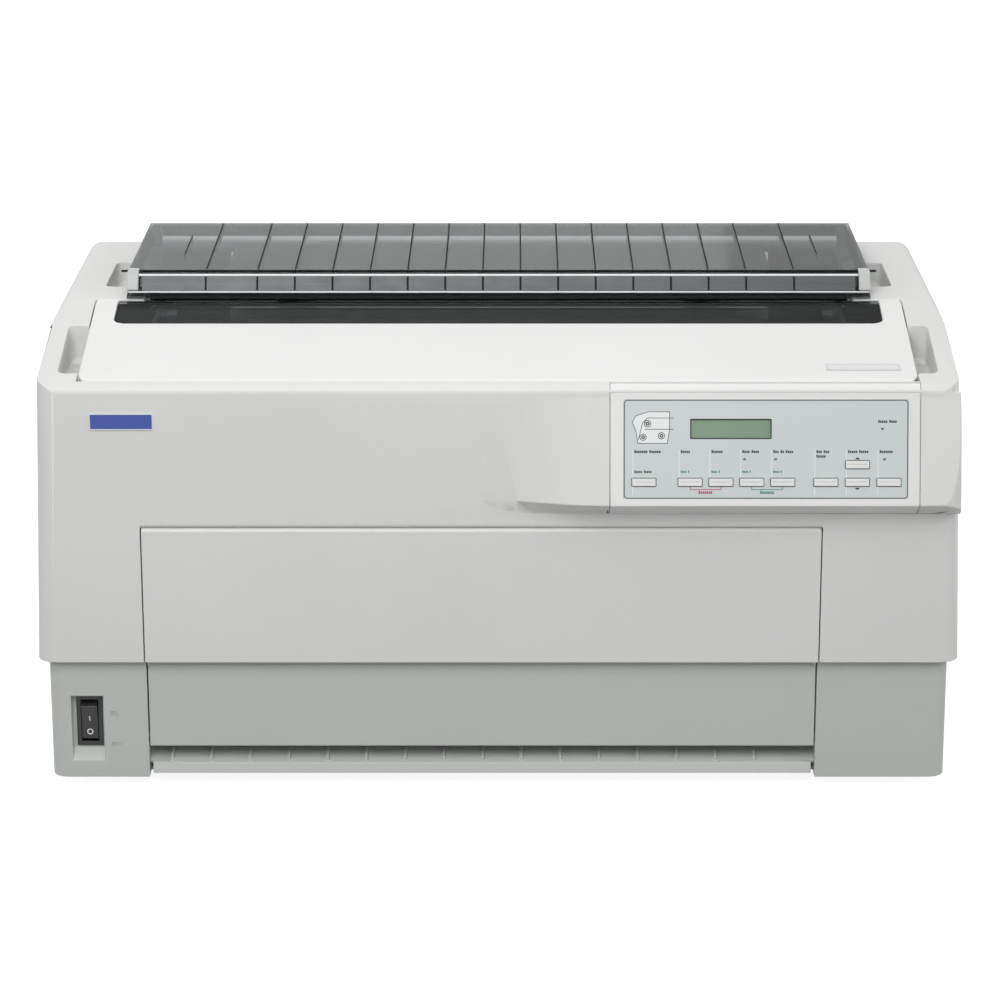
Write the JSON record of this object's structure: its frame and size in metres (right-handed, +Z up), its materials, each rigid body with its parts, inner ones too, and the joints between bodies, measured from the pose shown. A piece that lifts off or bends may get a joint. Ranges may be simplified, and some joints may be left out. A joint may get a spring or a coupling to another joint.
{
  "type": "dot matrix printer",
  "caption": "Wide free-standing impact printer with a lift-up lid and smoked window, smoked rear cover, fold-down front cover, tractors, platen, carriage and sloping key panel.",
  "frame": {"origin": "on the floor under the middle of the printer's outline", "axes": "+X to the operator's right, +Y to the back, +Z up"},
  "size_m": [0.7, 0.382, 0.369],
  "materials": {
    "base_plastic": "fine matte texture",
    "case_plastic": "fine matte texture",
    "cover_plastic": "fine matte texture",
    "lid_plastic": "fine matte texture",
    "key_plastic": "smooth matte",
    "foot_rubber": "matte rubber",
    "smoked_plastic": "polished smoked clear plastic",
    "guide_plastic": "smooth matte",
    "badge_blue": "satin enamel with a light border",
    "plate_silver": "satin",
    "black_plastic": "satin moulded",
    "zinc_steel": "zinc plated sheet",
    "membrane_film": "printed film, satin",
    "lcd_glass": "glossy green display glass",
    "circuit_board": "solder mask",
    "ground_steel": "ground and polished",
    "platen_rubber": "smooth ground rubber",
    "white_nylon": "moulded nylon",
    "motor_black": "satin black",
    "brass": "turned",
    "belt_rubber": "toothed neoprene",
    "head_aluminium": "cast, sand blasted",
    "cartridge_plastic": "fine matte texture",
    "tractor_plastic": "glass-filled nylon"
  },
  "bodies": {
    "root": {"base_case": "base_plastic", "rubber_feet": "foot_rubber", "upper_case": "case_plastic", "paper_entry_guide": "base_plastic", "badge_plate": "badge_blue", "switch_frame": "black_plastic", "rear_panel": "zinc_steel", "panel_bezel": "lid_plastic", "panel_membrane": "membrane_film", "lcd_display": "lcd_glass", "control_board": "circuit_board", "chassis_plate": "zinc_steel", "left_side_frame": "zinc_steel", "right_side_frame": "zinc_steel", "guide_rods": "ground_steel", "tractor_rods": "ground_steel", "feed_motor": "motor_black", "feed_belts": "belt_rubber", "ribbon_cartridge": "cartridge_plastic", "carriage_belt": "belt_rubber", "carriage_motor": "motor_black", "front_paper_guide": "zinc_steel", "rear_paper_guide": "zinc_steel", "power_supply": "zinc_steel", "main_board": "circuit_board"},
    "lid": {"top_lid": "lid_plastic", "lid_window": "smoked_plastic", "name_plate": "plate_silver"},
    "back_cover": {"rear_cover": "smoked_plastic", "cover_grips": "lid_plastic", "exit_guide": "guide_plastic"},
    "front_door": {"front_cover": "cover_plastic"},
    "rocker": {"power_rocker": "black_plastic"},
    "platen": {"platen_roller": "platen_rubber", "platen_shaft": "ground_steel", "platen_gear": "white_nylon"},
    "pinion": {"feed_pinion": "brass"},
    "front_shaft": {"front_drive_shaft": "ground_steel"},
    "rear_shaft": {"rear_drive_shaft": "ground_steel"},
    "carriage": {"carriage": "black_plastic", "print_head": "head_aluminium"},
    "left_pulley": {"drive_pulley": "ground_steel"},
    "right_pulley": {"idler_pulley": "ground_steel"},
    "tractor_select_key": {"tractor_select_key": "key_plastic"},
    "font_key": {"font_key": "key_plastic"},
    "pitch_key": {"pitch_key": "key_plastic"},
    "tear_off_key": {"tear_off_key": "key_plastic"},
    "top_of_form_key": {"top_of_form_key": "key_plastic"},
    "load_key": {"load_key": "key_plastic"},
    "feed_up_key": {"feed_up_key": "key_plastic"},
    "feed_down_key": {"feed_down_key": "key_plastic"},
    "pause_key": {"pause_key": "key_plastic"},
    "front_left_tractor": {"front_left_tractor": "tractor_plastic"},
    "front_left_flap": {"front_left_flap": "black_plastic"},
    "front_right_tractor": {"front_right_tractor": "tractor_plastic"},
    "front_right_flap": {"front_right_flap": "black_plastic"},
    "rear_left_tractor": {"rear_left_tractor": "tractor_plastic"},
    "rear_left_flap": {"rear_left_flap": "black_plastic"},
    "rear_right_tractor": {"rear_right_tractor": "tractor_plastic"},
    "rear_right_flap": {"rear_right_flap": "black_plastic"}
  },
  "joints": [
    {"name": "lid_hinge", "type": "hinge", "parent": "root", "child": "lid", "pos_m": [0, -0.029, 0.3455], "axis": [-1, 0, 0], "range_deg": [0, 65]},
    {"name": "rear_cover_hinge", "type": "hinge", "parent": "root", "child": "back_cover", "pos_m": [0, 0.1655, 0.3605], "axis": [-1, 0, 0], "range_deg": [0, 70]},
    {"name": "front_cover_hinge", "type": "hinge", "parent": "root", "child": "front_door", "pos_m": [0, -0.158, 0.04], "axis": [1, 0, 0], "range_deg": [0, 75]},
    {"name": "tractor_select_key_press", "type": "slide", "parent": "root", "child": "tractor_select_key", "axis": [0, 0.9719, -0.2356], "range_m": [0, 0.001], "stiffness_N_per_m": 300, "springref_m": -0.001},
    {"name": "font_key_press", "type": "slide", "parent": "root", "child": "font_key", "axis": [0, 0.9719, -0.2356], "range_m": [0, 0.001], "stiffness_N_per_m": 300, "springref_m": -0.001},
    {"name": "pitch_key_press", "type": "slide", "parent": "root", "child": "pitch_key", "axis": [0, 0.9719, -0.2356], "range_m": [0, 0.001], "stiffness_N_per_m": 300, "springref_m": -0.001},
    {"name": "tear_off_key_press", "type": "slide", "parent": "root", "child": "tear_off_key", "axis": [0, 0.9719, -0.2356], "range_m": [0, 0.001], "stiffness_N_per_m": 300, "springref_m": -0.001},
    {"name": "top_of_form_key_press", "type": "slide", "parent": "root", "child": "top_of_form_key", "axis": [0, 0.9719, -0.2356], "range_m": [0, 0.001], "stiffness_N_per_m": 300, "springref_m": -0.001},
    {"name": "load_key_press", "type": "slide", "parent": "root", "child": "load_key", "axis": [0, 0.9719, -0.2356], "range_m": [0, 0.001], "stiffness_N_per_m": 300, "springref_m": -0.001},
    {"name": "feed_up_key_press", "type": "slide", "parent": "root", "child": "feed_up_key", "axis": [0, 0.9719, -0.2356], "range_m": [0, 0.001], "stiffness_N_per_m": 300, "springref_m": -0.001},
    {"name": "feed_down_key_press", "type": "slide", "parent": "root", "child": "feed_down_key", "axis": [0, 0.9719, -0.2356], "range_m": [0, 0.001], "stiffness_N_per_m": 300, "springref_m": -0.001},
    {"name": "pause_key_press", "type": "slide", "parent": "root", "child": "pause_key", "axis": [0, 0.9719, -0.2356], "range_m": [0, 0.001], "stiffness_N_per_m": 300, "springref_m": -0.001},
    {"name": "rocker_tilt", "type": "hinge", "parent": "root", "child": "rocker", "pos_m": [-0.313, -0.152, 0.0518], "axis": [-1, 0, 0], "range_deg": [0, 14]},
    {"name": "platen_turn", "type": "hinge", "parent": "root", "child": "platen", "pos_m": [0, 0.032, 0.276], "axis": [1, 0, 0], "continuous": true},
    {"name": "pinion_turn", "type": "hinge", "parent": "root", "child": "pinion", "pos_m": [0, 0.05299, 0.25099], "axis": [1, 0, 0], "continuous": true},
    {"name": "front_shaft_turn", "type": "hinge", "parent": "root", "child": "front_shaft", "pos_m": [0, -0.117, 0.176], "axis": [1, 0, 0], "continuous": true},
    {"name": "rear_shaft_turn", "type": "hinge", "parent": "root", "child": "rear_shaft", "pos_m": [0, 0.106, 0.304], "axis": [1, 0, 0], "continuous": true},
    {"name": "carriage_slide", "type": "slide", "parent": "root", "child": "carriage", "axis": [1, 0, 0], "range_m": [-0.178, 0.178]},
    {"name": "left_pulley_turn", "type": "hinge", "parent": "root", "child": "left_pulley", "pos_m": [-0.244, -0.065, 0.214], "axis": [0, 0, 1], "range_deg": [-800, 800]},
    {"name": "right_pulley_turn", "type": "hinge", "parent": "root", "child": "right_pulley", "pos_m": [0.244, -0.065, 0.214], "axis": [0, 0, 1], "range_deg": [-800, 800]},
    {"name": "front_left_tractor_slide", "type": "slide", "parent": "root", "child": "front_left_tractor", "axis": [1, 0, 0], "range_m": [-0.04, 0.1]},
    {"name": "front_right_tractor_slide", "type": "slide", "parent": "root", "child": "front_right_tractor", "axis": [1, 0, 0], "range_m": [-0.1, 0.04]},
    {"name": "rear_left_tractor_slide", "type": "slide", "parent": "root", "child": "rear_left_tractor", "axis": [1, 0, 0], "range_m": [-0.04, 0.1]},
    {"name": "rear_right_tractor_slide", "type": "slide", "parent": "root", "child": "rear_right_tractor", "axis": [1, 0, 0], "range_m": [-0.1, 0.04]},
    {"name": "front_left_flap_hinge", "type": "hinge", "parent": "front_left_tractor", "child": "front_left_flap", "pos_m": [-0.1785, -0.1305, 0.154], "axis": [0, 0, -1], "range_deg": [0, 100]},
    {"name": "front_right_flap_hinge", "type": "hinge", "parent": "front_right_tractor", "child": "front_right_flap", "pos_m": [0.1785, -0.1305, 0.154], "axis": [0, 0, 1], "range_deg": [0, 100]},
    {"name": "rear_left_flap_hinge", "type": "hinge", "parent": "rear_left_tractor", "child": "rear_left_flap", "pos_m": [-0.1785, 0.128, 0.3175], "axis": [0, -1, 0], "range_deg": [0, 100]},
    {"name": "rear_right_flap_hinge", "type": "hinge", "parent": "rear_right_tractor", "child": "rear_right_flap", "pos_m": [0.1785, 0.128, 0.3175], "axis": [0, 1, 0], "range_deg": [0, 100]}
  ],
  "couplings": [
    {"joint": "pinion_turn", "follows": "platen_turn", "ratio": -3.3333},
    {"joint": "front_shaft_turn", "follows": "platen_turn", "ratio": 1},
    {"joint": "rear_shaft_turn", "follows": "platen_turn", "ratio": -1},
    {"joint": "left_pulley_turn", "follows": "carriage_slide", "rad_per_m": -76.628},
    {"joint": "right_pulley_turn", "follows": "carriage_slide", "rad_per_m": -76.628}
  ]
}
